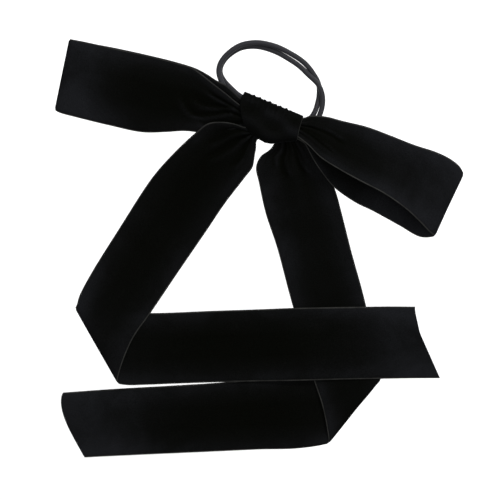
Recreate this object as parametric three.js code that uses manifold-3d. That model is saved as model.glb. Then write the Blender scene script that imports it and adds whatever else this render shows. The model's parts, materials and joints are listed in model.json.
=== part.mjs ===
// A velvet ribbon hair bow on a doubled elastic band, lying face up on a table.
// Millimetres, +Z up off the table. The origin is on the table under the middle of the knot.
import * as THREE from 'three';
import { mergeVertices } from 'three/addons/utils/BufferGeometryUtils.js';
import Module from 'manifold-3d';

const wasm = await Module();
wasm.setup();

// Ribbon and layers
const RIBBON_WIDTH = 38;
const RIBBON = 1.0;                 // thickness, pile included
const GAP = 0.3;                    // air between layers that lie on each other
const LAYER = RIBBON + GAP;         // height of one ribbon laid on another

// Knot, whose own frame has x along the knot, y across it and z up
const KNOT_TILT = THREE.MathUtils.degToRad(-22.6);
const KNOT_HEIGHT = 13.5;
const WRAP_TOP = 6.8;               // y of the wrap's gathered upper edge
const WRAP_BOTTOM = -14.5;
const WRAP_WALL = 0.9;
const WRAP_CORNER = 4.2;            // radius of its rounded edges
const POCKET_DIVIDER = -6.5;        // y between the loops' pocket and the tails' pocket
const WRAP_LENGTH = 60;             // longer than the wrap, whose ends are cut to the outline
const CHANNEL_Y = 2.5;              // axis of the channel that the elastic turns in
const CHANNEL_Z = 4.3;
const CHANNEL_RADIUS = 3.4;
const TAIL_CEILING = 7.4;           // the tails' pocket passes under the loops' as far as the channel
const WAIST_LOW = 8.6;              // the gathered loops lie above the channel
const WAIST_HIGH = 12.3;

// Elastic
const CORD_RADIUS = 1.4;
const CHANNEL_SPREAD = 1.65;        // half the distance between the two turns, in the channel
const RING_SPREAD = 1.5;            // round the ring, where they lie side by side
const STACK_SPREAD = 1.45;          // and where one crosses over the other
const CORD_SIDES = 8;
const JOINT_OUTER = 1.68;           // radii and length of the bonded joint's collar
const JOINT_INNER = 1.5;
const JOINT_LENGTH = 9;
const JOINT_SIDES = 16;

// Thread
const THREAD_RADIUS = 0.25;
const THREAD_SIDES = 6;
const STITCH_COUNT = 8;
const STITCH_PITCH = 3.0;
const STITCH_START = -14.5;         // x of the first stitch along the knot
const CINCH = 3.6;                  // half the length of waist that the gathering thread draws in
const CINCH_LOW = 9.4;
const CINCH_HIGH = 11.5;
const THREAD_HALF_WIDTH = 3.95;     // of the gathering thread's turns round the waist
const THREAD_HALF_HEIGHT = 1.6;

// Loops, each in its own frame: x out along the loop, y to its left, z up
const LEFT_HINGE = [-41, 8.5];
const LEFT_ANGLE = THREE.MathUtils.degToRad(167.2);
const RIGHT_HINGE = [18.5, -6.6];
const RIGHT_ANGLE = THREE.MathUtils.degToRad(-27.5);

// Tails, which swing about a line along X just below the knot
const ROOT_EDGE_Y = -12.9;
const TAIL_EDGE_Y = -13.5;
const LEFT_TAIL_START = 6.2;        // height of each tail's underside where it leaves the knot
const RIGHT_TAIL_START = 4.6;
const LEFT_TAIL_Z = 2 * LAYER;      // the left tail's lower length lies on both layers of the right tail
const TALL = 60;                    // taller than anything, for outlines that cut
const BOW_REACH = 120;              // further than any part reaches to either side

const velvet = new THREE.MeshStandardMaterial({ color: 0x08090a, roughness: 0.95, metalness: 0 });
const elasticCover = new THREE.MeshStandardMaterial({ color: 0x17171a, roughness: 0.45, metalness: 0 });
const collar = new THREE.MeshStandardMaterial({ color: 0x101012, roughness: 0.35, metalness: 0 });
const thread = new THREE.MeshStandardMaterial({ color: 0x0b0b0c, roughness: 0.6, metalness: 0 });

const point = ([x, y]) => new THREE.Vector2(x, y);

// A geometry as a solid that can be joined and cut.
function solid(geometry) {
  const bare = geometry.index ? geometry.toNonIndexed() : geometry.clone();
  bare.deleteAttribute('normal');
  bare.deleteAttribute('uv');
  const merged = mergeVertices(bare, 1e-4);
  return new wasm.Manifold(new wasm.Mesh({
    numProp: 3,
    vertProperties: new Float32Array(merged.attributes.position.array),
    triVerts: new Uint32Array(merged.index.array),
  }));
}

function geometryOf(manifold) {
  const mesh = manifold.getMesh();
  const geometry = new THREE.BufferGeometry();
  geometry.setAttribute('position', new THREE.BufferAttribute(mesh.vertProperties, 3));
  geometry.setIndex(new THREE.BufferAttribute(mesh.triVerts, 1));
  geometry.computeVertexNormals();
  return geometry;
}

function node(name, manifold, material) {
  const mesh = new THREE.Mesh(geometryOf(manifold), material);
  mesh.name = name;
  return mesh;
}

// A plain extrusion of a shape along Z, without bevels.
function extrusion(shape, depth, curveSegments) {
  return new THREE.ExtrudeGeometry(shape, { depth, bevelEnabled: false, curveSegments });
}

// An upright prism on an outline in the XY plane, from height low to height high.
function prism(outline, low = -1, high = TALL, curveSegments = 8) {
  const geometry = extrusion(outline, high - low, curveSegments);
  geometry.translate(0, 0, low);
  return solid(geometry);
}

// A section drawn with its x along the Y axis and its y up, run along the X axis.
function alongX(section, from, to) {
  const geometry = extrusion(section, to - from, 12);
  geometry.translate(0, 0, from);
  geometry.applyMatrix4(new THREE.Matrix4().makeBasis(
    new THREE.Vector3(0, 1, 0), new THREE.Vector3(0, 0, 1), new THREE.Vector3(1, 0, 0)));
  return solid(geometry);
}

// A side profile drawn with its x along the X axis and its y up, run across the Y axis.
function acrossY(profile, halfWidth) {
  const geometry = extrusion(profile, 2 * halfWidth, 12);
  geometry.translate(0, 0, -halfWidth);
  geometry.applyMatrix4(new THREE.Matrix4().makeBasis(
    new THREE.Vector3(1, 0, 0), new THREE.Vector3(0, 0, 1), new THREE.Vector3(0, -1, 0)));
  return solid(geometry);
}

// A straight-sided outline through corners.
const polygon = (corners) => new THREE.Shape(corners.map(point));

// An outline made of stretches: a stretch of two points is straight, a longer one is a smooth curve.
function outline(...stretches) {
  const shape = new THREE.Shape();
  shape.moveTo(...stretches[0][0]);
  for (const [first, ...rest] of stretches) {
    shape.lineTo(...first);
    if (rest.length === 1) shape.lineTo(...rest[0]);
    else shape.splineThru(rest.map(point));
  }
  return shape;
}

// An upright side profile: a smooth closed curve through points [x, z].
function roundProfile(points) {
  const corners = points.map(([x, z]) => new THREE.Vector3(x, z, 0));
  const curve = new THREE.CatmullRomCurve3(corners, true, 'centripetal');
  const along = curve.getPoints(4 * points.length).slice(0, -1);
  return new THREE.Shape(along.map(({ x, y }) => new THREE.Vector2(x, y)));
}

// The band that a ribbon fills, seen edge on: through points [x, z] along its underside.
function ribbonProfile(points) {
  const top = points.map(([x, z]) => [x, z + RIBBON]).reverse();
  return polygon([...points, ...top]);
}

// A round tube with flat ends along a curve.
function tube(curve, radius, sides, steps) {
  const ring = [];
  for (let i = 0; i < sides; i++) {
    const turn = 2 * Math.PI * i / sides;
    ring.push(new THREE.Vector2(radius * Math.cos(turn), radius * Math.sin(turn)));
  }
  const options = { steps, extrudePath: curve, bevelEnabled: false };
  return solid(new THREE.ExtrudeGeometry(new THREE.Shape(ring), options));
}

const bow = new THREE.Group();

// ---- Knot: everything in the knot's own frame ----

const knot = new THREE.Group();
knot.rotation.z = KNOT_TILT;
bow.add(knot);

// A point [x, y] of the bow's frame, in the knot's frame.
const inKnot = ([x, y]) => [
  x * Math.cos(KNOT_TILT) + y * Math.sin(KNOT_TILT),
  y * Math.cos(KNOT_TILT) - x * Math.sin(KNOT_TILT)];

// The centre wrap: one ribbon round the waist, with the elastic's channel stitched off along its upper edge.
function knotWrap() {
  const left = WRAP_BOTTOM + WRAP_CORNER;
  const right = WRAP_TOP - WRAP_CORNER;
  const high = KNOT_HEIGHT - WRAP_CORNER;
  const quarter = Math.PI / 2;
  const section = new THREE.Shape();
  section.moveTo(left, 0);
  section.absarc(right, WRAP_CORNER, WRAP_CORNER, -quarter, 0);
  section.absarc(right, high, WRAP_CORNER, 0, quarter);
  section.absarc(left, high, WRAP_CORNER, quarter, 2 * quarter);
  section.absarc(left, WRAP_CORNER, WRAP_CORNER, 2 * quarter, 3 * quarter);

  const upper = WRAP_TOP - WRAP_WALL;
  const lower = WRAP_BOTTOM + WRAP_WALL;
  const divider = POCKET_DIVIDER - WRAP_WALL;
  const besideChannel = CHANNEL_Y - CHANNEL_RADIUS - WRAP_WALL;
  const floor = 1;
  const bevel = 2.2;
  const channel = new THREE.Path();
  channel.absarc(CHANNEL_Y, CHANNEL_Z, CHANNEL_RADIUS, 0, 2 * Math.PI, true);
  const loopsPocket = new THREE.Path([
    [upper, WAIST_LOW - GAP], [upper, WAIST_HIGH - bevel], [upper - bevel, WAIST_HIGH + GAP],
    [POCKET_DIVIDER, WAIST_HIGH + GAP], [POCKET_DIVIDER, WAIST_LOW - GAP]].map(point));
  const tailsPocket = new THREE.Path([
    [besideChannel, floor], [besideChannel, TAIL_CEILING],
    [divider, TAIL_CEILING], [divider, WAIST_HIGH], [lower + bevel, WAIST_HIGH],
    [lower, WAIST_HIGH - bevel], [lower, floor + bevel], [lower + bevel, floor]].map(point));
  section.holes.push(channel, loopsPocket, tailsPocket);
  const plan = outline(
    [[-16, 7], [14.9, 7]],
    [[14.9, 7], [15.4, 0.5], [16.6, -5.7]],
    [[16.6, -5.7], [5.2, -11]],
    [[5.2, -11], [-2.6, -14.2]],
    [[-2.6, -14.2], [-10.2, -11.1]],
    [[-10.2, -11.1], [-14.5, -5.6], [-18, -0.6], [-19, 5]]);
  return alongX(section, -WRAP_LENGTH / 2, WRAP_LENGTH / 2).intersect(prism(plan));
}

// The gathered middle of the loops' ribbon, fanning out to the left as far as the left loop's fold line.
function loopWaist() {
  const plan = outline(
    [[-CINCH, 3.4], [-18, 3.4]],
    [[-18, 3.4], [-26, 6.4], [-34.2, 7.2], [-43.3, 7.9]],
    [[-43.3, 7.9], [-38.4, -19.6]],
    [[-38.4, -19.6], [-33.6, -19.1]],
    [[-33.6, -19.1], [-30.2, -14.6], [-23.6, -11.4], [-17, -9.4]],
    [[-17, -9.4], [-15.6, -5.4]],
    [[-15.6, -5.4], [-CINCH, -5]],
    [[-CINCH, -5], [-CINCH, -4.2]],
    [[-CINCH, -4.2], [CINCH, -4.2]],
    [[CINCH, -4.2], [CINCH, -5]],
    [[CINCH, -5], [17.2, -5]],
    [[17.2, -5], [17.2, 3.4]],
    [[17.2, 3.4], [CINCH, 3.4]],
    [[CINCH, 3.4], [CINCH, 2.6]],
    [[CINCH, 2.6], [-CINCH, 2.6]],
    [[-CINCH, 2.6], [-CINCH, 3.4]]);
  const profile = polygon([
    [17.4, 9.4], [16, WAIST_LOW], [CINCH, WAIST_LOW], [CINCH, CINCH_LOW],
    [-CINCH, CINCH_LOW], [-CINCH, WAIST_LOW], [-18, WAIST_LOW], [-32, 7.1], [-48, 6.9],
    [-48, 8.1], [-32, 10.2], [-18, WAIST_HIGH],
    [-CINCH, WAIST_HIGH], [-CINCH, CINCH_HIGH], [CINCH, CINCH_HIGH], [CINCH, WAIST_HIGH],
    [15, WAIST_HIGH], [17.4, 11]]);
  return acrossY(profile, RIBBON_WIDTH).intersect(prism(plan));
}

// The gathered middle of the tails' ribbon: in at the knot's lower left, through it, and out below its right.
function tailWaist() {
  const underside = 3.4;
  const leftRoot = outline(
    [[-46, ROOT_EDGE_Y], [-39.3, -6.9]],
    [[-39.3, -6.9], [-33.8, -3.2], [-26.4, -2.7], [-15.3, -5.3]],
    [[-15.3, -5.3], [-13.5, -7.5]],
    [[-13.5, -7.5], [-11, ROOT_EDGE_Y]]);
  const rightRoot = polygon([[1.6, ROOT_EDGE_Y], [2.8, -9.3], [13, -9.3], [18.5, ROOT_EDGE_Y]]);
  const across = polygon([[-13, -12.2], [-13, -8.2], [12, -8.2], [6, -11.2], [-3, -13.2]]);
  const turned = (shape) => new THREE.Shape(shape.getPoints(8).map(({ x, y }) => point(inKnot([x, y]))));
  return prism(across, underside, LEFT_TAIL_START + RIBBON / 2)
    .add(prism(turned(leftRoot), LEFT_TAIL_START, LEFT_TAIL_START + RIBBON))
    .add(prism(turned(rightRoot), RIGHT_TAIL_START, RIGHT_TAIL_START + RIBBON));
}

// A few turns of thread that hold the loops' gathers, inside the wrap.
function gatheringThread() {
  const turns = 4;
  const stepsPerTurn = 16;
  const pitch = 1.1;
  const start = -2;
  const centreY = -0.8;
  const middle = (CINCH_LOW + CINCH_HIGH) / 2;
  const points = [];
  for (let i = 0; i <= turns * stepsPerTurn; i++) {
    const turn = 2 * Math.PI * i / stepsPerTurn;
    const squared = Math.max(Math.abs(Math.cos(turn)), Math.abs(Math.sin(turn)));
    points.push(new THREE.Vector3(
      start + pitch * i / stepsPerTurn,
      centreY + THREAD_HALF_WIDTH * Math.cos(turn) / squared,
      middle + THREAD_HALF_HEIGHT * Math.sin(turn) / squared));
  }
  return tube(new THREE.CatmullRomCurve3(points), THREAD_RADIUS, THREAD_SIDES, turns * stepsPerTurn);
}

// One overcast stitch over the channel's roll, at x along the knot.
function edgeStitch(x) {
  const reach = WRAP_TOP - CHANNEL_Y + THREAD_RADIUS + GAP;
  const slant = 0.8;
  const steps = 10;
  const points = [];
  for (let i = 0; i <= steps; i++) {
    const share = i / steps;
    const turn = THREE.MathUtils.degToRad(THREE.MathUtils.lerp(-50, 60, share));
    const over = Math.cos(Math.min(turn, 0));
    points.push(new THREE.Vector3(
      x + slant * share,
      CHANNEL_Y + reach * over,
      CHANNEL_Z + reach * Math.sin(turn)));
  }
  return tube(new THREE.CatmullRomCurve3(points), THREAD_RADIUS, THREAD_SIDES, steps);
}

knot.add(node('knot_wrap', knotWrap(), velvet));
knot.add(node('loop_waist', loopWaist(), velvet));
knot.add(node('tail_waist', tailWaist(), velvet));
knot.add(node('gathering_thread', gatheringThread(), thread));
for (let i = 0; i < STITCH_COUNT; i++) {
  knot.add(node(`edge_stitch_${i + 1}`, edgeStitch(STITCH_START + STITCH_PITCH * i), thread));
}

// ---- Elastic: one covered cord that runs twice round, in the knot's frame ----

// The middle of the pair of turns, from the right mouth of the channel round to the left one.
const RING = [
  [15.4, 2.5, 4.3], [18.8, 4.6, 4.1], [20.9, 10.7, 3.6], [20.4, 17, 3.1], [18.6, 22, 3.0],
  [15.4, 26.3, 2.95], [10, 29.5, 2.95], [3.6, 32.4, 2.95], [-4.3, 34, 2.95], [-12, 34.6, 2.95],
  [-20.2, 33.6, 2.95], [-25.8, 31.4, 2.95], [-30.4, 28, 2.95], [-34.5, 21.6, 2.95], [-35.8, 16, 3.0],
  [-34.8, 11.8, 3.1], [-31.4, 8.2, 3.4], [-27.2, 5.6, 3.8], [-22.4, 3.4, 4.2], [-18.4, 2.5, 4.3],
].map((p) => new THREE.Vector3(...p));

// The two turns lie side by side, cross once right of the top, and lie one on the other on the left.
function twist(share) {
  const { smoothstep, degToRad } = THREE.MathUtils;
  const crossing = smoothstep(share, 0.06, 0.4);
  const stacked = smoothstep(share, 0.26, 0.8) * (1 - smoothstep(share, 0.82, 1));
  return Math.PI * crossing + degToRad(77) * stacked;
}

// One turn of the cord round the ring, which starts on one side of the pair and ends on the other.
function turnPoints(startAngle) {
  const curve = new THREE.CatmullRomCurve3(RING, false, 'centripetal');
  const steps = 36;
  const easing = 0.12;              // share of the turn over which the pair's spread changes at each end
  const points = [];
  for (let i = 0; i <= steps; i++) {
    const share = i / steps;
    const at = curve.getPointAt(share);
    const along = curve.getTangentAt(share);
    const outward = new THREE.Vector3(along.y, -along.x, 0).normalize();
    const angle = startAngle + twist(share);
    const onRing = THREE.MathUtils.smoothstep(Math.min(share, 1 - share), 0, easing);
    const spread = THREE.MathUtils.lerp(CHANNEL_SPREAD, RING_SPREAD, onRing);
    at.addScaledVector(outward, spread * Math.cos(angle));
    at.z += STACK_SPREAD * Math.sin(angle);
    points.push(at);
  }
  return points;
}

function elasticCord() {
  const steps = 96;
  const channelPoint = (x, side) => new THREE.Vector3(x, CHANNEL_Y + side * CHANNEL_SPREAD, CHANNEL_Z);
  const upperStart = [channelPoint(GAP / 2, 1), channelPoint(7, 1)];
  const lower = [channelPoint(-11, -1), channelPoint(0, -1), channelPoint(9, -1)];
  const upperEnd = [channelPoint(-11, 1), channelPoint(-GAP / 2, 1)];
  const route = [...upperStart, ...turnPoints(Math.PI), ...lower, ...turnPoints(0), ...upperEnd];
  return tube(new THREE.CatmullRomCurve3(route, false, 'centripetal'), CORD_RADIUS, CORD_SIDES, steps);
}

// The collar in which the cord's two ends are bonded, hidden in the channel.
function elasticJoint() {
  const half = JOINT_LENGTH / 2;
  const profile = [
    [JOINT_INNER, -half], [JOINT_OUTER, -half], [JOINT_OUTER, half],
    [JOINT_INNER, half], [JOINT_INNER, -half]];
  const geometry = new THREE.LatheGeometry(profile.map(point), JOINT_SIDES);
  geometry.rotateZ(-Math.PI / 2);
  geometry.translate(0, CHANNEL_Y + CHANNEL_SPREAD, CHANNEL_Z);
  return solid(geometry);
}

knot.add(node('elastic_cord', elasticCord(), elasticCover));
knot.add(node('elastic_joint', elasticJoint(), collar));

// ---- Loops: each in a frame at its hinge ----

function loop(name, hinge, angle, parts) {
  const group = new THREE.Group();
  group.position.set(...hinge, 0);
  group.rotation.z = angle;
  const { outside, inside, plan, cutAway, cutAbove } = parts;
  const band = acrossY(roundProfile(outside), RIBBON_WIDTH)
    .subtract(acrossY(roundProfile(inside), RIBBON_WIDTH));
  group.add(node(name, band.intersect(prism(plan)).subtract(prism(cutAway, cutAbove)), velvet));
  bow.add(group);
}

loop('left_loop', LEFT_HINGE, LEFT_ANGLE, {
  outside: [
    [0.5, 7.6], [10, 4.9], [25, 1.2], [45, 0.5], [65, 0.5], [69.6, 1.2], [71.2, 3.1],
    [69.6, 5], [65, 5.8], [45, 8], [22, 10.2], [9, 9.7]],
  inside: [[15, 7.2], [27, 2.3], [45, 1.6], [65, 1.6], [69, 3.1], [65, 4.7], [45, 6.9], [22, 9]],
  plan: outline(
    [[0, -15.8], [2.5, -16.8], [11.7, -18.1], [27, -18.8]],
    [[27, -18.8], [71.2, -17.9]],
    [[71.2, -17.9], [70.8, 20]],
    [[70.8, 20], [69.4, 21.3]],
    [[69.4, 21.3], [28.5, 21.4]],
    [[28.5, 21.4], [21, 20.9], [11, 18.4], [0, 15.2]]),
  cutAway: polygon([[-1, -20], [-1, -14.5], [5.5, -17.4], [5.5, -20]]),
  cutAbove: 7.6,
});

loop('right_loop', RIGHT_HINGE, RIGHT_ANGLE, {
  outside: [
    [0.6, 10.2], [8, 8.9], [18, 7], [30, 3.5], [45, 0.9], [62, 0.5], [78, 0.6], [82.9, 1.4], [84.6, 3.3],
    [82.9, 5.2], [78, 6.2], [60, 8.6], [42, 11], [22, 13.2], [8, 12.6]],
  inside: [
    [13, 10.5], [20, 7.9], [31, 4.6], [45, 2.1], [62, 1.6], [78, 1.7],
    [82, 3.3], [78, 5.1], [60, 7.4], [42, 9.8], [22, 12]],
  plan: outline(
    [[0, 7.4], [4.5, 10.9], [14.5, 13.5], [27.2, 16.7], [53.5, 19.8], [74, 22.2]],
    [[74, 22.2], [79.1, 21.3], [82.8, 18.5]],
    [[82.8, 18.5], [84.6, 14], [84.6, -17.6]],
    [[84.6, -17.6], [82.3, -19.9], [77, -21.4]],
    [[77, -21.4], [49.7, -20.2], [39, -20.4], [27.2, -19.2]],
    [[27.2, -19.2], [21.1, -16.7], [11.1, -11.2], [0, -5.6]]),
  cutAway: outline(
    [[0, -5.4], [6.8, -6.6], [15.6, -9.5], [27.6, -9.9], [48.9, -10.8], [64.7, -12.6], [80, -17]],
    [[80, -17], [80, -30]],
    [[80, -30], [0, -30]]),
  cutAbove: 7.0,
});

// ---- Tails: one ribbon end each side, each folded under once and laid across the other ----

// A ribbon whose underside follows points [y, z], cut to an outline.
function slopedRibbon(underside, plan) {
  return alongX(ribbonProfile(underside), -BOW_REACH, BOW_REACH).intersect(prism(plan));
}

// The bend that joins a ribbon to the part folded under it, along the fold line.
function foldBend(from, to, inward, low, high) {
  const [dx, dy] = inward;
  return prism(polygon([from, to, [to[0] + dx, to[1] + dy], [from[0] + dx, from[1] + dy]]), low, high);
}

// The left tail lies over the right one all the way.
function leftTail() {
  const upper = outline(
    [
      [-46.7, TAIL_EDGE_Y], [-51.7, -17.6], [-62.7, -31.2], [-80.8, -59.4],
      [-94.5, -80.3], [-100.8, -92.1], [-102.4, -99.4]],
    [[-102.4, -99.4], [-80.4, -138.5]],
    [[-80.4, -138.5], [-79.9, -133], [-76.3, -121.7], [-64, -102.6]],
    [[-64, -102.6], [-44.4, -72.6], [-26.3, -45.8], [-10.8, -25.3], [-8.2, TAIL_EDGE_Y]]);
  const lower = outline(
    [[-102.4, -99.4], [-80.4, -138.5]],
    [[-80.4, -138.5], [-76.3, -140]],
    [[-76.3, -140], [-32, -139], [88.2, -136.7]],
    [[88.2, -136.7], [77.3, -110], [75.5, -99.2]],
    [[75.5, -99.2], [11, -99.7], [-64, -102.6]]);
  const slope = [[-150, LEFT_TAIL_Z + LAYER], [-34, LEFT_TAIL_Z + LAYER], [TAIL_EDGE_Y, LEFT_TAIL_START]];
  return slopedRibbon(slope, upper)
    .add(prism(lower, LEFT_TAIL_Z, LEFT_TAIL_Z + RIBBON))
    .add(foldBend([-102.4, -99.4], [-80.4, -138.5], [1.2, 0.7], LEFT_TAIL_Z, LEFT_TAIL_Z + LAYER + RIBBON));
}

function rightTail() {
  const upper = outline(
    [[57.3, -137], [50.2, -99], [45.1, -80.6], [37.7, -53], [33.4, -36.9], [26, -22], [19, TAIL_EDGE_Y]],
    [[19, TAIL_EDGE_Y], [1.4, TAIL_EDGE_Y]],
    [[1.4, TAIL_EDGE_Y], [-4.5, -19.5], [-7.4, -26], [-6.9, -33.5], [-3.3, -49.7], [2.7, -67.8],
      [11.1, -99.1]],
    [[11.1, -99.1], [22.2, -138.1], [29.1, -162.3], [29.8, -170.5]]);
  const lower = outline(
    [[57.3, -137], [29.8, -170.5]],
    [[29.8, -170.5], [21, -173.3], [13, -173.9], [-6.3, -174.4]],
    [[-6.3, -174.4], [-98.8, -178.5]],
    [[-98.8, -178.5], [-107.7, -162], [-111.7, -150.3], [-109.8, -144.3]],
    [[-109.8, -144.3], [-33.6, -139.6], [13, -136.5], [57.3, -137]]);
  const slope = [[-190, LAYER], [-36, LAYER], [TAIL_EDGE_Y, RIGHT_TAIL_START]];
  return slopedRibbon(slope, upper)
    .add(prism(lower, 0, RIBBON))
    .add(foldBend([57.3, -137], [29.8, -170.5], [-1.1, 0.9], 0, LAYER + RIBBON));
}

bow.add(node('left_tail', leftTail(), velvet));
bow.add(node('right_tail', rightTail(), velvet));

export default bow;
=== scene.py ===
"""A black velvet ribbon hair bow on a doubled elastic, lying face up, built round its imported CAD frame."""
import json
import math

import bpy
import numpy as np
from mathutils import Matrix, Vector

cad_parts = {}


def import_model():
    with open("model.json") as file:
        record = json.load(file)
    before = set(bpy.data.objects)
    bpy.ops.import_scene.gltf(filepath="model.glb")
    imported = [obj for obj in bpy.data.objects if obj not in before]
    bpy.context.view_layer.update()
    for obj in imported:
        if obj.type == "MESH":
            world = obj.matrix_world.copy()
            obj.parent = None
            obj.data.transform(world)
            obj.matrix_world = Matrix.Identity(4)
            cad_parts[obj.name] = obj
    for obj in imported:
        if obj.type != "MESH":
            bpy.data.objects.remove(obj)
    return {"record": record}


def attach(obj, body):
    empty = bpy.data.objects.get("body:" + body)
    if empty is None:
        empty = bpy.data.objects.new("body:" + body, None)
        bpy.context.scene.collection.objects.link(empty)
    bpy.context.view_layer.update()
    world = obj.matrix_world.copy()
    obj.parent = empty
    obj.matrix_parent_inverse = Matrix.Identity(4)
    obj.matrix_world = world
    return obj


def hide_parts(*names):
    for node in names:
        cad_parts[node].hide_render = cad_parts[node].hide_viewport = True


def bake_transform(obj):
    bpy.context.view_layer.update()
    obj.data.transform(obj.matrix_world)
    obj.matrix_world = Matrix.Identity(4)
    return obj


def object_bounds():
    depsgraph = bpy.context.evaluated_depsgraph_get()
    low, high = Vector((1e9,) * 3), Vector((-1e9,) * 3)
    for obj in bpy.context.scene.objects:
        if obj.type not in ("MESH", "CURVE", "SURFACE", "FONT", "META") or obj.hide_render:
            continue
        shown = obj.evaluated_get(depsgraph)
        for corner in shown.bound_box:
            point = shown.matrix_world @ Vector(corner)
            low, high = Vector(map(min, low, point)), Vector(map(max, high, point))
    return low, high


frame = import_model()
cad_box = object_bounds()

MM = 0.001
KNOT_TILT = math.radians(-22.6)      # of the knot's own frame: x along the knot, y across it
PILE = 0.55                          # half the ribbon's thickness, over the pile
GROUND = 0.16                        # half its thickness at the bare woven selvedges
SELVEDGE = 0.75                      # width of a selvedge
RIBBON_WIDTH = 38.0
GATHERED_WIDTH = 24.0                # drawn in closer than this, its pile is pressed flat
ACROSS = 22                          # columns of the ribbon's pile
ROW = 1.1                            # length of a row along it


# ---- Small helpers ----

CURVE_STEPS = 24                     # between two points of a smooth curve, before its rows are spaced evenly


def distance_along(rows, power=1.0):
    """How far along a line each of its points is, each step between two points raised to a power."""
    steps = np.linalg.norm(np.diff(rows, axis=0), axis=1) ** power
    return np.concatenate([[0], np.cumsum(steps)])


def smooth_curve(points, spacing, size=3):
    """Rows spaced evenly along a centripetal Catmull-Rom curve through points of any number of values.

    The spacing is measured over the first size values of each point.
    """
    p = np.array(points, float)
    p = np.vstack([2 * p[0] - p[1], p, 2 * p[-1] - p[-2]])
    knots = distance_along(p, power=0.5)
    rows = []
    for i in range(1, len(p) - 2):
        t0, t1, t2, t3 = knots[i - 1:i + 3]
        for t in np.linspace(t1, t2, CURVE_STEPS, endpoint=False):
            a1 = ((t1 - t) * p[i - 1] + (t - t0) * p[i]) / (t1 - t0)
            a2 = ((t2 - t) * p[i] + (t - t1) * p[i + 1]) / (t2 - t1)
            a3 = ((t3 - t) * p[i + 1] + (t - t2) * p[i + 2]) / (t3 - t2)
            b1 = ((t2 - t) * a1 + (t - t0) * a2) / (t2 - t0)
            b2 = ((t3 - t) * a2 + (t - t1) * a3) / (t3 - t1)
            rows.append(((t2 - t) * b1 + (t - t1) * b2) / (t2 - t1))
    rows.append(p[-2])
    rows = np.array(rows)
    run = distance_along(rows[:, :size])
    at = np.linspace(0, run[-1], max(2, int(run[-1] / spacing) + 1))
    return np.stack([np.interp(at, run, rows[:, k]) for k in range(rows.shape[1])], axis=1)


def unit(v):
    return v / np.maximum(np.linalg.norm(v, axis=-1, keepdims=True), 1e-12)


def smoothstep(low, high, x):
    t = np.clip((x - low) / (high - low), 0, 1)
    return t * t * (3 - 2 * t)


def mesh_object(name, points_mm, faces, materials, face_slots=None, uvs=None):
    mesh = bpy.data.meshes.new(name)
    mesh.from_pydata((np.asarray(points_mm) * MM).tolist(), [], faces)
    for m in materials:
        mesh.materials.append(m)
    if face_slots is not None:
        mesh.polygons.foreach_set("material_index", face_slots)
    mesh.polygons.foreach_set("use_smooth", [True] * len(mesh.polygons))
    if uvs is not None:
        layer = mesh.uv_layers.new(name="lay")
        flat = np.array([uvs[v] for f in faces for v in f], float)
        layer.data.foreach_set("uv", flat.ravel())
    mesh.update()
    obj = bpy.data.objects.new(name, mesh)
    bpy.context.scene.collection.objects.link(obj)
    return obj


def loft_faces(rings, sides, closed_rows=False):
    """Quads between closed rings of points, with flat ends or, if the rows are closed, back to the first."""
    faces = []
    last = rings if closed_rows else rings - 1
    for i in range(last):
        j = (i + 1) % rings
        for k in range(sides):
            n = (k + 1) % sides
            faces.append((i * sides + k, i * sides + n, j * sides + n, j * sides + k))
    if not closed_rows:
        faces.append(tuple(range(sides))[::-1])
        faces.append(tuple((rings - 1) * sides + k for k in range(sides)))
    return faces


def in_bow(u, v):
    """A point of the knot's frame, in the bow's."""
    c, s = math.cos(KNOT_TILT), math.sin(KNOT_TILT)
    return u * c - v * s, u * s + v * c


# ---- Materials ----

class Nodes:
    """A material with its principled shader, to which nodes are added."""

    def __init__(self, name):
        self.material = bpy.data.materials.new(name)
        self.material.use_nodes = True
        self.tree = self.material.node_tree
        self.shader = self.tree.nodes["Principled BSDF"]

    def add(self, kind, **values):
        node = self.tree.nodes.new(kind)
        for key, value in values.items():
            if key in node.inputs:
                node.inputs[key].default_value = value
            else:
                setattr(node, key, value)
        return node

    def link(self, out, into):
        self.tree.links.new(out, into)


def set_shader(shader, **values):
    for key, value in values.items():
        shader.inputs[key.replace("_", " ")].default_value = value


def ramp(nodes, source, stops):
    """A colour ramp on a source, from stops [position, colour]."""
    r = nodes.add("ShaderNodeValToRGB")
    while len(r.color_ramp.elements) < len(stops):
        r.color_ramp.elements.new(0.5)
    for element, (position, colour) in zip(r.color_ramp.elements, stops):
        element.position = position
        element.color = (*colour, 1)
    nodes.link(source, r.inputs["Fac"])
    return r.outputs["Color"]


def grey_stops(stops):
    return [(position, (value,) * 3) for position, value in stops]


def maths(nodes, operation, first, second):
    """A sum, product or the like of an output and another output or a number."""
    node = nodes.add("ShaderNodeMath", operation=operation)
    nodes.link(first, node.inputs[0])
    if isinstance(second, (int, float)):
        node.inputs[1].default_value = second
    else:
        nodes.link(second, node.inputs[1])
    return node.outputs[0]


def raise_bumps(nodes, height, strength, distance):
    bump = nodes.add("ShaderNodeBump", Strength=strength, Distance=distance)
    nodes.link(height, bump.inputs["Height"])
    nodes.link(bump.outputs["Normal"], nodes.shader.inputs["Normal"])


def lay_coordinates(nodes):
    """The two values that each mesh keeps in its layer called lay."""
    split = nodes.add("ShaderNodeSeparateXYZ")
    nodes.link(nodes.add("ShaderNodeUVMap", uv_map="lay").outputs["UV"], split.inputs[0])
    return split.outputs["X"], split.outputs["Y"]


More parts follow.
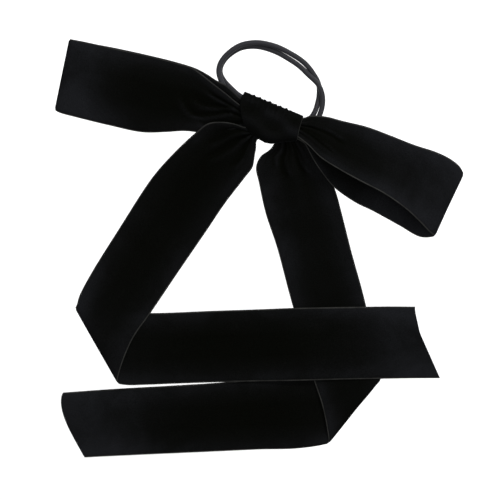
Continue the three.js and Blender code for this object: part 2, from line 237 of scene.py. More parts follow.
def velvet():
    """Short dense pile: nearly black, with a painted sheen in a cool tint, lighter towards the ribbon's
    edges, at given spots and on fold ridges, with painted shade in fold grooves, broken up in random patches.
    """
    n = Nodes("velvet_pile")
    where = n.add("ShaderNodeTexCoord").outputs["Object"]
    patches = n.add("ShaderNodeTexNoise", Scale=26.0, Detail=5.0, Roughness=0.62, Distortion=0.6)
    fibres = n.add("ShaderNodeTexNoise", Scale=2400.0, Detail=3.0, Roughness=0.7)
    tufts = n.add("ShaderNodeTexVoronoi", Scale=1700.0)
    for t in (patches, fibres, tufts):
        n.link(where, t.inputs["Vector"])
    # across the ribbon, and the painted light each mesh carries: sheen at spots and on fold ridges, shade in
    # fold grooves
    across, painted_light_and_shade = lay_coordinates(n)
    # painted sheen: lighter towards both edges of the ribbon
    edge_sheen = ramp(n, across, grey_stops([
        (0.0, 0.55), (0.08, 0.48), (0.2, 0.24), (0.36, 0.03),
        (0.64, 0.03), (0.8, 0.24), (0.92, 0.48), (1.0, 0.55)]))
    uneven = ramp(n, patches.outputs["Fac"], grey_stops([(0.36, 0.5), (0.64, 1.0)]))
    # all the painted sheen and shade, varied in random patches
    painted_sheen = maths(n, "MULTIPLY", maths(n, "ADD", edge_sheen, painted_light_and_shade), uneven)
    # from the pile's own near black up to a cool painted sheen
    colour = ramp(n, painted_sheen, [
        (0.0, (0.0012, 0.0013, 0.0009)), (0.3, (0.0021, 0.0022, 0.0021)), (1.0, (0.0060, 0.0063, 0.0072))])
    shade = n.add("ShaderNodeMixRGB", blend_type="MULTIPLY", Fac=0.6)
    n.link(colour, shade.inputs["Color1"])
    n.link(ramp(n, fibres.outputs["Fac"], grey_stops([(0.3, 0.3), (0.7, 1.7)])), shade.inputs["Color2"])
    n.link(shade.outputs["Color"], n.shader.inputs["Base Color"])
    raise_bumps(n, maths(n, "ADD", fibres.outputs["Fac"], tufts.outputs["Distance"]), 0.5, 0.0002)
    set_shader(n.shader, Roughness=0.95, Specular_IOR_Level=0.0, Sheen_Weight=0.01, Sheen_Roughness=0.3)
    n.shader.inputs["Sheen Tint"].default_value = (0.74, 0.78, 0.88, 1)
    return n.material


def selvedge():
    """The ribbon's bare woven edge: satin warps crossed by fine picks."""
    n = Nodes("woven_selvedge")
    where = n.add("ShaderNodeTexCoord").outputs["Object"]
    weave = n.add("ShaderNodeTexVoronoi", Scale=3200.0)
    worn = n.add("ShaderNodeTexNoise", Scale=180.0, Detail=3.0)
    n.link(where, weave.inputs["Vector"])
    n.link(where, worn.inputs["Vector"])
    colour = ramp(n, worn.outputs["Fac"], [
        (0.35, (0.0066, 0.0066, 0.0061)), (0.65, (0.0137, 0.0137, 0.0126))])
    n.link(colour, n.shader.inputs["Base Color"])
    raise_bumps(n, weave.outputs["Distance"], 0.5, 0.00015)
    set_shader(n.shader, Roughness=0.6, Specular_IOR_Level=0.06)
    return n.material


STRANDS_AROUND = 8.0
TURNS_PER_MM = 1.15


def braid():
    """Nylon braided tightly over rubber: two crossing sets of strands that run round the cord."""
    n = Nodes("braided_elastic")
    around, along = lay_coordinates(n)
    waves = []
    for slant in (1.0, -1.0):
        slanted = maths(n, "MULTIPLY", around, slant * STRANDS_AROUND)
        turns = maths(n, "ADD", slanted, maths(n, "MULTIPLY", along, TURNS_PER_MM))
        wave = n.add("ShaderNodeMath", operation="SINE")
        n.link(maths(n, "MULTIPLY", turns, 2 * math.pi), wave.inputs[0])
        waves.append(wave.outputs[0])
    highest = maths(n, "MAXIMUM", *waves)
    # painted shade: darker in the grooves between the strands, lighter on their crests
    colour = ramp(n, highest, [(0.0, (0.008, 0.008, 0.0094)), (0.9, (0.023, 0.0233, 0.0268))])
    n.link(colour, n.shader.inputs["Base Color"])
    raise_bumps(n, highest, 0.35, 0.00012)
    set_shader(n.shader, Roughness=0.38, Specular_IOR_Level=0.05)
    return n.material


def sewing_thread():
    """Polyester thread with a fine twist."""
    n = Nodes("sewing_thread")
    where = n.add("ShaderNodeTexCoord").outputs["Object"]
    twist = n.add("ShaderNodeTexWave", Scale=900.0, Distortion=1.0)
    n.link(where, twist.inputs["Vector"])
    # painted shade: darker in the twist's grooves, lighter on its ridges
    n.link(ramp(n, twist.outputs["Fac"], [(0.2, (0.0018, 0.0018, 0.002)), (0.8, (0.006, 0.006, 0.0066))]),
           n.shader.inputs["Base Color"])
    raise_bumps(n, twist.outputs["Fac"], 0.5, 0.0001)
    set_shader(n.shader, Roughness=0.5, Specular_IOR_Level=0.08)
    return n.material


def bonded_collar():
    """Smooth dark plastic with a faint grain."""
    n = Nodes("bonded_collar")
    where = n.add("ShaderNodeTexCoord").outputs["Object"]
    grain = n.add("ShaderNodeTexNoise", Scale=700.0, Detail=3.0)
    n.link(where, grain.inputs["Vector"])
    n.link(ramp(n, grain.outputs["Fac"], [(0.3, (0.012, 0.012, 0.012)), (0.7, (0.022, 0.022, 0.022))]),
           n.shader.inputs["Base Color"])
    set_shader(n.shader, Roughness=0.35)
    return n.material


PILE_MATERIAL = velvet()
SELVEDGE_MATERIAL = selvedge()
BRAID_MATERIAL = braid()
THREAD_MATERIAL = sewing_thread()
COLLAR_MATERIAL = bonded_collar()


# ---- Floor, light and camera ----

CLEARANCE_BELOW = 0.175              # the tails and the elastic can swing back past the knot's flat back
FLOOR_REACH = 1.5
CAMERA_HEIGHT = 1.3
VIEW_WIDTH = 0.2639                  # what the picture's width takes in, at the bow
CAMERA_SHIFT = (-0.0049, -0.0008)    # of the camera from above the middle of the CAD's box
SENSOR_WIDTH = 36


def floor():
    """A white surface under the bow, lower than anything swings."""
    r = FLOOR_REACH
    mesh = bpy.data.meshes.new("floor")
    mesh.from_pydata([(-r, -r, 0), (r, -r, 0), (r, r, 0), (-r, r, 0)], [], [(0, 1, 2, 3)])
    obj = bpy.data.objects.new("floor", mesh)
    bpy.context.scene.collection.objects.link(obj)
    obj.location.z = cad_box[0][2] - CLEARANCE_BELOW
    n = Nodes("floor_paint")
    n.shader.inputs["Base Color"].default_value = (0.93, 0.93, 0.93, 1)
    set_shader(n.shader, Roughness=0.9, Specular_IOR_Level=0.1)
    mesh.materials.append(n.material)


def area_light(name, place, aim, size, power):
    light = bpy.data.lights.new(name, "AREA")
    light.shape = "DISK"
    light.size = size
    light.energy = power
    obj = bpy.data.objects.new(name, light)
    obj.location = place
    obj.rotation_euler = (Vector(aim) - Vector(place)).to_track_quat("-Z", "Y").to_euler()
    bpy.context.scene.collection.objects.link(obj)


def world(strength):
    w = bpy.data.worlds.new("studio")
    bpy.context.scene.world = w
    w.use_nodes = True
    back = w.node_tree.nodes["Background"]
    back.inputs["Color"].default_value = (1, 1, 1, 1)
    back.inputs["Strength"].default_value = strength


def camera():
    """Straight above the bow, framed a little wider than it."""
    middle = (Vector(cad_box[0]) + Vector(cad_box[1])) / 2
    data = bpy.data.cameras.new("camera")
    data.sensor_width = SENSOR_WIDTH
    data.lens = SENSOR_WIDTH * CAMERA_HEIGHT / VIEW_WIDTH
    obj = bpy.data.objects.new("camera", data)
    obj.location = (middle.x + CAMERA_SHIFT[0], middle.y + CAMERA_SHIFT[1], CAMERA_HEIGHT)
    bpy.context.scene.collection.objects.link(obj)
    bpy.context.scene.camera = obj


floor()
world(strength=0.72)
area_light("key", place=(0.55, 0.8, 0.75), aim=(0, -0.04, 0), size=0.35, power=16)
area_light("fill", place=(-0.25, -0.1, 1.4), aim=(-0.02, -0.06, 0), size=0.9, power=5)
area_light("overhead", place=(0.1, -0.05, 1.9), aim=(0, -0.05, 0), size=1.2, power=9)
camera()
bpy.context.scene.view_settings.view_transform = "Standard"


# ---- Elastic ----

CHANNEL_Y, CHANNEL_Z = 2.5, 4.3      # the channel's axis, in the knot's frame
CHANNEL_SPREAD = 1.65                # half the distance between the two turns, in the channel,
RING_SPREAD = 1.5                    # where they lie side by side on the ring,
STACK_SPREAD = 1.45                  # and where one lies over the other
STACK_ANGLE = math.radians(77)       # how far they roll over each other
CORD_RADIUS = 1.4
CORD_GAP = 0.15                      # half the gap between the cord's two ends, inside the collar
END_ROUNDING = 0.5
RING = [
    (15.4, 2.5, 4.3), (18.8, 4.6, 4.1), (20.9, 10.7, 3.6), (20.4, 17, 3.1), (18.6, 22, 3.0),
    (15.4, 26.3, 2.95), (10, 29.5, 2.95), (3.6, 32.4, 2.95), (-4.3, 34, 2.95), (-12, 34.6, 2.95),
    (-20.2, 33.6, 2.95), (-25.8, 31.4, 2.95), (-30.4, 28, 2.95), (-34.5, 21.6, 2.95), (-35.8, 16, 3.0),
    (-34.8, 11.8, 3.1), (-31.4, 8.2, 3.4), (-27.2, 5.6, 3.8), (-22.4, 3.4, 4.2), (-18.4, 2.5, 4.3)]


def ring_turn(start_angle):
    """One turn of the cord round the ring: beside the other, across it once, then over or under it."""
    at = smooth_curve(RING, 2.0)
    along = unit(np.gradient(at, axis=0))
    share = np.linspace(0, 1, len(at))
    stacked = smoothstep(0.26, 0.8, share) * (1 - smoothstep(0.82, 1, share))
    angle = start_angle + math.pi * smoothstep(0.06, 0.4, share) + STACK_ANGLE * stacked
    outward = unit(np.stack([along[:, 1], -along[:, 0], 0 * share], axis=1))
    from_channel = smoothstep(0, 0.12, np.minimum(share, 1 - share))
    spread = CHANNEL_SPREAD + (RING_SPREAD - CHANNEL_SPREAD) * from_channel
    rise = np.outer(STACK_SPREAD * np.sin(angle), (0, 0, 1))
    return [tuple(p) for p in at + outward * (spread * np.cos(angle))[:, None] + rise]


def cord_tube(name, route_knot, radius, sides, spacing, material):
    """A round cord along a route in the knot's frame, in millimetres, with rounded ends."""
    line = smooth_curve(route_knot, spacing)
    x, y = in_bow(line[:, 0], line[:, 1])
    line = np.stack([x, y, line[:, 2]], axis=1)
    along = unit(np.gradient(line, axis=0))
    side = np.zeros_like(line)
    side[0] = unit(np.cross(along[0], (0, 0, 1)))
    for i in range(1, len(line)):
        side[i] = unit(side[i - 1] - along[i] * np.dot(side[i - 1], along[i]))
    up = np.cross(along, side)
    run = distance_along(line)
    from_end = np.minimum(run, run[-1] - run)
    radii = radius * np.sqrt(np.clip(1 - (1 - from_end / END_ROUNDING) ** 2, 0.02, 1))
    radii[from_end > END_ROUNDING] = radius
    turn = 2 * math.pi * np.arange(sides) / sides
    rings = line[:, None] + radii[:, None, None] * (
        side[:, None] * np.cos(turn)[None, :, None] + up[:, None] * np.sin(turn)[None, :, None])
    uvs = [(k / sides, r) for r in run for k in range(sides)]
    obj = mesh_object(name, rings.reshape(-1, 3), loft_faces(len(line), sides), [material], uvs=uvs)
    return obj, line * MM, float(run[-1]) * MM


def elastic():
    """The one cord: from its collar in the knot round the ring, back through the channel, and round again."""
    def channel(x, side):
        return (x, CHANNEL_Y + side * CHANNEL_SPREAD, CHANNEL_Z)

    first_turn = [channel(CORD_GAP, 1), channel(7, 1), *ring_turn(math.pi), channel(-11, -1), channel(0, -1)]
    second_turn = [channel(9, -1), *ring_turn(0), channel(-11, 1), channel(-CORD_GAP, 1)]
    route = first_turn + second_turn
    obj, path, length = cord_tube(
        "elastic_cord_braided", route, CORD_RADIUS, sides=20, spacing=0.7, material=BRAID_MATERIAL)
    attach(obj, "elastic")
    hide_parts("elastic_cord")


elastic()


# ---- Ribbons ----

FOLD_SHEEN_AND_SHADE = 0.5                     # how much painted sheen a fold's ridge gets per millimetre, and painted shade its groove
EDGE_ZONE = 3 * SELVEDGE            # the part beside each selvedge that gathers don't draw in
CUT_REACH = 14                      # how much of a ribbon its cut end's shape bends


def across_profile():
    """The columns' places across, from 0 to 1, the half thickness at each, and which strips are bare."""
    edge = SELVEDGE / RIBBON_WIDTH
    columns = [(0, GROUND * 0.6), (edge * 0.3, GROUND), (edge * 0.9, GROUND)]
    columns += [(edge * 1.15, PILE * 0.7), (edge * 1.8, PILE * 0.94)]
    columns += [(x, PILE) for x in np.linspace(edge * 3, 0.5, ACROSS // 2)]
    columns += [(1 - x, h) for x, h in columns[:-1][::-1]]
    x, half = np.array(columns).T
    middle = (x[:-1] + x[1:]) / 2
    return x, half, (middle < edge) | (middle > 1 - edge)


def keep_edges(x, width):
    """The columns' places where a ribbon is drawn in: its selvedges keep their size, the pile gives way."""
    edge = EDGE_ZONE / RIBBON_WIDTH
    held = np.minimum(EDGE_ZONE / width, 0.3)[:, None]
    inner = held + (x - edge) / (1 - 2 * edge) * (1 - 2 * held)
    return np.where(x < edge, x / edge * held, np.where(x > 1 - edge, 1 - (1 - x) / edge * held, inner))


def ribbon_slots(bare, rows):
    """Which faces of a ribbon's loft are pile (0) and which are selvedge (1)."""
    upper = [int(b) for b in bare]
    around = upper + [1] + upper[::-1] + [1]
    return around * (rows - 1) + [0, 0]


def ribbon(name, stations, folds, sheen_spots, rise=None, end_cut=None):
    """A ribbon through stations [one edge's x, y, z, the other edge's x, y, z], in millimetres.

    Painted sheen is added at each (distance along it, reach, strength) of its spots of sheen, and on the
    folds' ridges, with painted shade in their grooves.
    """
    rows = smooth_curve(stations, ROW, size=6)
    one, other = rows[:, :3], rows[:, 3:6]
    x, half, bare = across_profile()
    width = np.linalg.norm(other - one, axis=1)
    middle = one[:, None] + (other - one)[:, None] * keep_edges(x, width)[..., None]
    run = distance_along((one + other) / 2)
    if end_cut is not None:
        along = unit(middle[-1] - middle[-5])
        fade = smoothstep(run[-1] - CUT_REACH, run[-1], run)
        middle += fade[:, None, None] * end_cut(x)[None, :, None] * along[None]
    normal = unit(np.cross(np.gradient(middle, axis=0), np.gradient(middle, axis=1)))
    ridges = sum(fold(run, x) for fold in folds)
    lift = ridges if rise is None else ridges + rise(run, x)
    middle = middle + normal * lift[..., None]
    normal = unit(np.cross(np.gradient(middle, axis=0), np.gradient(middle, axis=1)))
    drawn_in = np.clip(width / GATHERED_WIDTH, 0.4, 1)
    depth = normal * (half[None, :] * drawn_in[:, None])[..., None]
    rings = np.concatenate([middle + depth, (middle - depth)[:, ::-1]], axis=1)
    count, sides = rings.shape[:2]
    # painted sheen at the given spots along the ribbon
    painted_light = sum(strength * np.exp(-((run - at) / reach) ** 2) for at, reach, strength in sheen_spots)
    # painted sheen on the folds' ridges and painted shade in their grooves, mirrored on the underside
    ridge_light_and_shade = FOLD_SHEEN_AND_SHADE * np.clip(ridges, -1, 1)
    painted_light_and_shade = painted_light[:, None] + np.concatenate([ridge_light_and_shade, -ridge_light_and_shade[:, ::-1]], axis=1)
    uvs = list(zip(np.tile([*x, *x[::-1]], count), painted_light_and_shade.ravel()))
    obj = mesh_object(
        name, rings.reshape(-1, 3), loft_faces(count, sides), [PILE_MATERIAL, SELVEDGE_MATERIAL],
        ribbon_slots(bare, count), uvs)
    return obj, float(run[-1])


def fan(start, reach, count, depth, phase, from_end=False):
    """Gathers that fan out from the knot and die away: ridges along the ribbon, deepest where it is drawn in.

    There are count ridges across, shifted by phase, and they wander a little off even spacing.
    """
    def lift(run, x):
        distance = (run[-1] - run if from_end else run) - start
        fade = np.exp(-np.maximum(distance, 0) / reach)
        turn = 2 * math.pi * (count * x[None, :]) + phase
        wander = 0.7 * np.sin(2 * math.pi * 1.7 * x[None, :] + 0.11 * distance[:, None] + 2 * phase)
        flat_edges = smoothstep(0.02, 0.14, np.minimum(x, 1 - x))
        return depth * fade[:, None] * np.sin(turn + wander) * flat_edges
    return lift


def crease(path, depth, width):
    """One pulled crease: a groove with a soft ridge beside it, along points (distance, share across)."""
    p = smooth_curve(path, 1.5, size=2)
    strength = smoothstep(0, 0.25, np.linspace(1, 0, len(p)))

    def lift(run, x):
        at = np.stack(np.broadcast_arrays(run[:, None], x[None, :] * RIBBON_WIDTH), axis=-1)
        line = p * (1, RIBBON_WIDTH)
        offset = at[:, :, None, :] - line[None, None]
        gap = np.linalg.norm(offset, axis=-1)
        near = gap.argmin(axis=-1)
        along = unit(np.gradient(line, axis=0))[near]
        away = np.take_along_axis(offset, near[..., None, None], axis=2)[:, :, 0]
        side = along[..., 0] * away[..., 1] - along[..., 1] * away[..., 0]
        close = gap.min(axis=-1) / width
        ridge = 0.9 * np.exp(-(close - 1.7) ** 2) * (side > 0)
        return depth * strength[near] * (ridge - np.exp(-close ** 2))
    return lift


def crown(height, first, last):
    """A soft rise across the ribbon's middle between two distances along it."""
    def lift(run, x):
        along = np.sin(math.pi * np.clip((run - first) / (last - first), 0, 1)) ** 1.2
        return height * along[:, None] * (4 * x * (1 - x))[None, :]
    return lift


# Stations along each ribbon from the knot: x, y, z of one edge and x, y, z of the other.
LEFT_TAIL = [
    (-9, -4, 9.6, -4, -8.5, 8), (-14.3, -4.8, 10.8, -7.9, -11.8, 7),
    (-20, -3.0, 11, -8.3, -15.5, 6), (-26.4, -2.1, 10.5, -9.0, -19.4, 5.2),
    (-33.6, -2.8, 8.8, -10.2, -25.6, 4.2), (-39.2, -6.8, 7.2, -14.5, -31.4, 3.4),
    (-51.4, -18, 4.4, -24.7, -44.6, 2.2), (-63, -31, 2.2, -33.8, -58.1, 1.6),
    (-81.3, -59.1, 1.4, -49.3, -80.7, 1.3), (-94.5, -80.3, 2.2, -64, -102.6, 3.2),
    (-100.8, -92.1, 4.2, -73.5, -116.5, 4.8), (-102.6, -98, 4.9, -79.6, -131.5, 5.1),
    (-103.1, -99.8, 4.0, -81, -139, 4.1), (-100.5, -100.6, 3.1, -77.5, -140.2, 3.1),
    (-88, -101.6, 2.8, -66, -140.2, 2.1), (-64, -102.4, 1.7, -55, -139.8, 1.4),
    (-32, -101.3, 1.0, -32, -139, 1.6), (-6, -100.4, 1.6, -6, -138.4, 2.1),
    (11, -99.7, 3.1, 11, -138.1, 3.2), (30, -99.3, 3.5, 36, -137.4, 3.4),
    (50, -99, 3.2, 58, -137, 3.2), (62, -98.9, 2.0, 74, -136.8, 2.2),
    (75.8, -99.0, 1.2, 88.7, -136.8, 1.4)]

RIGHT_TAIL = [
    (3, -7, 5.6, 13.5, -6.5, 6.2), (1.4, -12.5, 5.2, 17, -12, 6),
    (-1.1, -16.3, 4.6, 21.4, -18, 5), (-6.1, -20.1, 4, 26, -24.4, 4),
    (-8.4, -26, 3.2, 30.3, -31, 3), (-6.9, -33.5, 2.2, 33.4, -37.5, 2.1),
    (-3.3, -49.7, 1.4, 37.7, -53, 1.2), (2.7, -67.8, 1, 42, -70, 1),
    (8.6, -90, 1.1, 47.7, -90.5, 1.1), (11.1, -99.1, 1.1, 50, -100, 1.1),
    (17, -119, 1.3, 53.8, -118, 1.4), (22.2, -138.1, 1.9, 56.6, -131.5, 2.3),
    (26.4, -150.8, 2.4, 57, -135.3, 2.4), (29.0, -163, 2.4, 57.3, -136.3, 2.3),
    (29.7, -170.7, 1.7, 57.1, -137.0, 1.7), (27, -171.9, 0.9, 54.5, -136.9, 0.9),
    (13, -173.9, 0.65, 36, -136.3, 0.65), (-6.3, -174.4, 0.6, 5, -136.6, 0.6),
    (-33, -175.6, 0.6, -30, -139.3, 0.6), (-55.8, -176.6, 0.6, -56, -140.9, 0.6),
    (-80, -177.7, 0.6, -84, -142.5, 0.6), (-98.8, -178.6, 0.7, -109.8, -144.3, 1.3)]

LEFT_LOOP = [
    (-10.5, 3.4, 10.6, -9, -4.5, 10), (-17.6, 7.5, 10.6, -15, -6.5, 9.2),
    (-24.2, 12.9, 10.2, -20, -8.6, 8.0), (-31.2, 18.4, 9.4, -27, -9.2, 7),
    (-38, 23.9, 8.2, -36, -7.9, 6.2), (-42.6, 26.9, 7, -45.4, -6.7, 5.7),
    (-49.5, 29.0, 6.6, -55.8, -7.2, 5.3), (-63.2, 32.6, 6.2, -68, -7.3, 5.2),
    (-85.4, 37.4, 5.8, -85.4, -3.7, 5.0), (-99, 40.4, 5.3, -103, 0.6, 4.8),
    (-105, 41.6, 4.4, -112.2, 3.2, 4.2), (-106.3, 41.9, 3, -114.1, 4.6, 3),
    (-104.5, 41.3, 1.5, -111.5, 5.2, 1.4), (-85, 37.9, 0.9, -86, -1.5, 0.9),
    (-63, 33.1, 1.0, -62, -5, 1.0), (-49.5, 29.6, 2.2, -46, -5, 1.7),
    (-40, 26.4, 4.2, -37, -4.5, 3.2), (-33.6, 22.9, 5.8, -31, -5, 4.2),
    (-29.6, 20.2, 6.4, -27, -5.5, 5.0), (-24.4, 17.5, 7.6, -23, -5.5, 5.9),
    (-20.2, 13.7, 8.7, -18, -5, 6.8), (-15.5, 9.6, 9, -13, -4, 7.6),
    (-9.5, 6.5, 9, -8, -3, 8)]

RIGHT_LOOP = [
    (10, 1.5, 10.4, 9, -7.5, 10), (16.4, 0.2, 9.8, 13.6, -10.2, 10.6),
    (20.1, 1.3, 8.6, 18.8, -14.2, 11.2), (27.6, 1.0, 7.5, 25.5, -20.9, 11.8),
    (37.6, -1.4, 5.6, 36, -27.6, 12.6), (50.3, -4.4, 4.2, 47.5, -33.9, 13),
    (62.3, -8.8, 3.4, 58.5, -39.6, 12.4), (75.1, -13.8, 3, 70.2, -47.7, 10.6),
    (86.4, -17.5, 3, 78, -54.8, 8), (94, -21.2, 3.2, 82.4, -59.3, 5.4),
    (98.9, -25.2, 3.2, 84.8, -61.2, 3.9), (100.9, -28.9, 2.4, 85.3, -62, 2.4),
    (98, -26.5, 1.2, 82.3, -62.6, 1.3), (89, -21, 0.9, 77, -61.9, 0.9),
    (75, -16.5, 0.8, 67.4, -56.4, 0.8), (60, -10.5, 0.9, 53.0, -48.5, 1.0),
    (48, -6.5, 1.4, 43.4, -43.8, 1.8), (38, -4, 2.8, 33.0, -36.5, 3.8),
    (32, -3, 4.2, 28.4, -31.4, 4.9), (27, -2.5, 5.8, 22.2, -22.6, 6.4),
    (21, -2, 7.4, 16.9, -13.4, 7.6), (15, -1.5, 8.0, 13.0, -11, 8.4),
    (8, -1.5, 8.4, 8, -7.5, 8.8)]

# The list after the folds in each: spots of painted sheen along it, (distance, reach, strength).
left_tail, left_tail_length = ribbon(
    "left_tail_ribbon", LEFT_TAIL, [
        fan(8, 12, 3.5, 0.6, 0.4),
        fan(8, 8, 8, 0.22, 1.9),
        crease([(9, 0.55), (20, 0.5), (34, 0.35)], 0.8, 1.5),
        crease([(9, 0.75), (18, 0.76), (28, 0.72)], 0.7, 1.2),
        crease([(10, 0.35), (20, 0.3), (27, 0.2)], 0.6, 1.3)],
    [(95, 45, 0.1), (150, 26, 0.4), (315, 38, 0.8)],
    end_cut=lambda x: -2.4 * np.sin(math.pi * x ** 0.65))
right_tail, right_tail_length = ribbon(
    "right_tail_ribbon", RIGHT_TAIL, [
        fan(6, 12, 3.5, 0.6, 2.4),
        fan(6, 8, 8, 0.22, 0.3),
        crease([(6, 0.35), (16, 0.36), (27, 0.42)], 0.8, 1.4),
        crease([(6, 0.6), (15, 0.62), (24, 0.7)], 0.7, 1.3),
        crease([(8, 0.18), (15, 0.2), (22, 0.26)], 0.6, 1.1)],
    [(60, 40, 0.3), (150, 25, 0.2), (300, 42, 0.8)],
    end_cut=lambda x: 3.9 * np.sin(math.pi * (1 - x) ** 0.65))
left_loop, left_loop_length = ribbon(
    "left_loop_ribbon", LEFT_LOOP, [
        fan(8, 13, 3.5, 0.6, 1.1),
        fan(8, 9, 8, 0.25, 0.2),
        fan(6, 10, 4, 0.25, 2.0, from_end=True),
        crease([(14, 0.48), (26, 0.67), (33, 0.71), (37, 0.6), (41.5, 0.36)], 1.0, 1.3),
        crease([(12, 0.3), (24, 0.48), (30.5, 0.5), (33.5, 0.38)], 0.9, 1.2),
        crease([(10, 0.82), (24, 0.86), (33, 0.8)], 0.8, 1.3),
        crease([(9, 0.2), (19, 0.24), (26, 0.2)], 0.6, 1.1)],
    [(110, 27, 1.25)], rise=crown(1.2, 20, 96))
right_loop, right_loop_length = ribbon(
    "right_loop_ribbon", RIGHT_LOOP, [
        fan(6, 11, 3.5, 0.55, 0.9),
        fan(6, 8, 8, 0.2, 2.6),
        fan(6, 10, 3, 0.4, 1.0, from_end=True),
        crease([(8, 0.3), (20, 0.28), (34, 0.36)], 0.9, 1.4),
        crease([(8, 0.6), (18, 0.62), (28, 0.7)], 0.7, 1.2)],
    [(60, 35, 0.25), (95, 30, 0.6), (132, 26, 0.5)], rise=crown(3.5, 12, 92))


# ---- The knot's wrap ----

WRAP_TOP = 7.5                      # its upper edge, in the knot's frame
WRAP_HEIGHT = 13.2                  # of its front over its back, without folds
WRAP_LOWER_ENDS = 1.3               # how much less that is at both ends
WRAP_CEILING = 13.9                 # height of the highest fold
WRAP_WALL = 0.6
WRAP_SHEEN = 0.38                     # painted sheen over the whole wrap, which its folds raise and lower
WRAP_AROUND, WRAP_ALONG, WRAP_ALONG_INSIDE = 144, 84, 24
SQUARENESS = 0.62                   # power of its rounded section
# Its outline: the lower edge at shares of its length, and both ends at heights across the knot.
WRAP_BOTTOMS = np.array([
    (0, -11.3), (0.25, -12.7), (0.42, -13.3), (0.55, -12.6), (0.7, -10.6), (0.85, -8.4), (1, -6.2)])
WRAP_LEFTS = np.array([
    (-14.2, -9.2), (-11.1, -10.4), (-9.9, -11.5), (-5.6, -15.0), (-0.6, -18.0), (3, -19.0), (6.8, -18.6)])
WRAP_RIGHTS = np.array([(-14, 16.8), (-5.7, 16.6), (0.5, 15.5), (6.8, 14.9)])
GROOVE = 0.42                       # depth of the gathers along the stitched edge
STITCH_COUNT = 8
STITCH_START = -14.5
STITCH_PITCH = 3.0
STITCH_RADIUS = 0.2


def rounded(wave):
    return np.sign(wave) * np.abs(wave) ** SQUARENESS


def wrap_section(share, inset, phi):
    """v and z of points round the wrap, at a share of its length."""
    ends = abs(2 * share - 1) ** 3
    low = np.interp(share, *WRAP_BOTTOMS.T)
    tall = WRAP_HEIGHT - WRAP_LOWER_ENDS * ends
    v = (WRAP_TOP + low) / 2 + ((WRAP_TOP - low) / 2 - inset) * rounded(np.cos(phi))
    z = tall / 2 + (tall / 2 - inset) * rounded(np.sin(phi))
    return v, z, ends


def wrap_ring(share, inset):
    """Points round the wrap, and the painted sheen and shade there; only its outside has folds."""
    phi = 2 * math.pi * np.arange(WRAP_AROUND) / WRAP_AROUND
    v, z, ends = wrap_section(share, inset, phi)
    u = np.interp(v, *WRAP_LEFTS.T) * (1 - share) + np.interp(v, *WRAP_RIGHTS.T) * share
    painted_light = np.full(WRAP_AROUND, WRAP_SHEEN)
    if inset < WRAP_WALL:
        front = np.clip(np.sin(phi), 0, 1)
        # gathers that the stitches draw in, along the upper edge and fading down the front
        drawn = smoothstep(-17, -14, u) * (1 - smoothstep(6, 10, u)) * (0.75 + 0.35 * np.sin(1.3 * u + 0.7))
        pitch = 2 * math.pi * (u - STITCH_START) / STITCH_PITCH
        wave = -np.cos(pitch + 0.5 * np.sin(0.9 * u)) * drawn
        at_edge = smoothstep(3.5, 7, v)
        below = smoothstep(-3.5, 5.5, v) * (1 - 0.4 * at_edge)
        # wide soft folds over the rest of the front
        folds = np.sin(0.62 * v + 0.16 * u + 0.8) + 0.6 * np.sin(0.34 * u - 0.5 * v + 2)
        pushed = (0.45 * np.maximum(folds, -0.7) - 0.1) * (1 - at_edge) * (1 - ends)
        z = z + front * (0.5 * wave * below + pushed)
        v = v + GROOVE * wave * at_edge
        # painted sheen on the crests of the folds and gathers, painted shade in their troughs
        painted_light = painted_light + 0.14 * folds * (1 - at_edge) + 0.08 * wave * below
    x, y = in_bow(u, v)
    return np.stack([x, y, np.clip(z, 0.02, WRAP_CEILING), painted_light], axis=1)


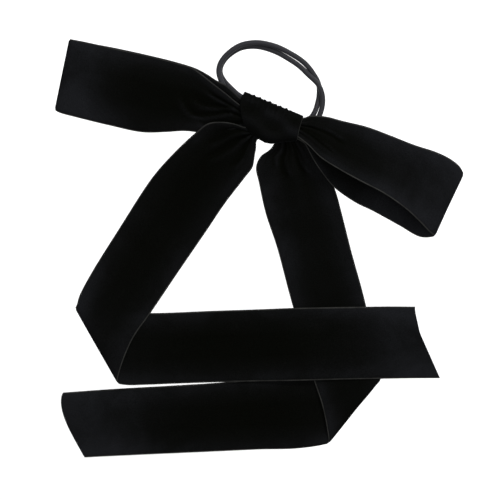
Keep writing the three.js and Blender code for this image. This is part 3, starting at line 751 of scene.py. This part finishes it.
def wrap():
    """The centre ribbon round the waist: open at both ends, gathered along its stitched upper edge."""
    shares = np.concatenate([[0, 0.012, 0.024], np.linspace(0.045, 0.955, WRAP_ALONG), [0.976, 0.992, 1]])
    outer = [wrap_ring(share, 0.1 * (share > 0.98)) for share in shares]
    inner = [wrap_ring(share, WRAP_WALL) for share in np.linspace(1, 0, WRAP_ALONG_INSIDE)]
    rings = np.array(outer + inner)
    faces = loft_faces(len(rings), WRAP_AROUND, closed_rows=True)
    selvedge_row = len(shares) - 2
    slots = [int(i == selvedge_row) for i in range(len(rings)) for _ in range(WRAP_AROUND)]
    uvs = [(0.5, painted_light) for painted_light in rings[..., 3].ravel()]
    points = rings[..., :3].reshape(-1, 3)
    obj = mesh_object("knot_wrap_ribbon", points, faces, [PILE_MATERIAL, SELVEDGE_MATERIAL], slots, uvs)
    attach(obj, "knot")
    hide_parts("knot_wrap")
    return obj


knot_wrap = wrap()


# ---- Stitches ----

def edge_stitches():
    """Overcast stitches over the wrap's upper edge, one in each groove between two gathers."""
    phi = np.radians(np.linspace(-40, 30, 9))
    left, right = WRAP_LEFTS[-1, 1], WRAP_RIGHTS[-1, 1]
    slant = np.linspace(-0.3, 0.5, len(phi))
    for i in range(STITCH_COUNT):
        u = STITCH_START + STITCH_PITCH * i
        v, z, _ = wrap_section((u - left) / (right - left), 0, phi)
        points = list(zip(u + slant, v - GROOVE / 2 + STITCH_RADIUS / 2, z))
        name = f"edge_stitch_thread_{i + 1}"
        obj, _, _ = cord_tube(name, points, STITCH_RADIUS, sides=8, spacing=0.4, material=THREAD_MATERIAL)
        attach(obj, "knot")
        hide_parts(f"edge_stitch_{i + 1}")


edge_stitches()

for node, material in (("gathering_thread", THREAD_MATERIAL), ("elastic_joint", COLLAR_MATERIAL)):
    bpy.data.objects[node].data.materials.clear()
    bpy.data.objects[node].data.materials.append(material)


# ---- The ribbons' transforms, and the CAD parts they stand for ----

def bend(obj, joint):
    """Finds a hinge's place and the way out from the knot, which nothing uses, and bakes the ribbon's
    transform into its mesh.
    """
    hinge = next(j for j in frame["record"]["behaviour"]["joints"] if j["name"] == joint)
    at = Vector(hinge["pos_m"])
    outward = Vector(hinge["axis"]).cross(Vector((0, 0, 1))).normalized()
    if outward.dot(at) < 0:
        outward = -outward
    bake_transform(obj)


bend(left_loop, "left_loop_lift")
bend(right_loop, "right_loop_lift")
bend(left_tail, "tails_swing")
bend(right_tail, "tails_swing")
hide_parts("left_loop", "loop_waist")
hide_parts("right_loop")
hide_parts("left_tail", "tail_waist")
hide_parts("right_tail")
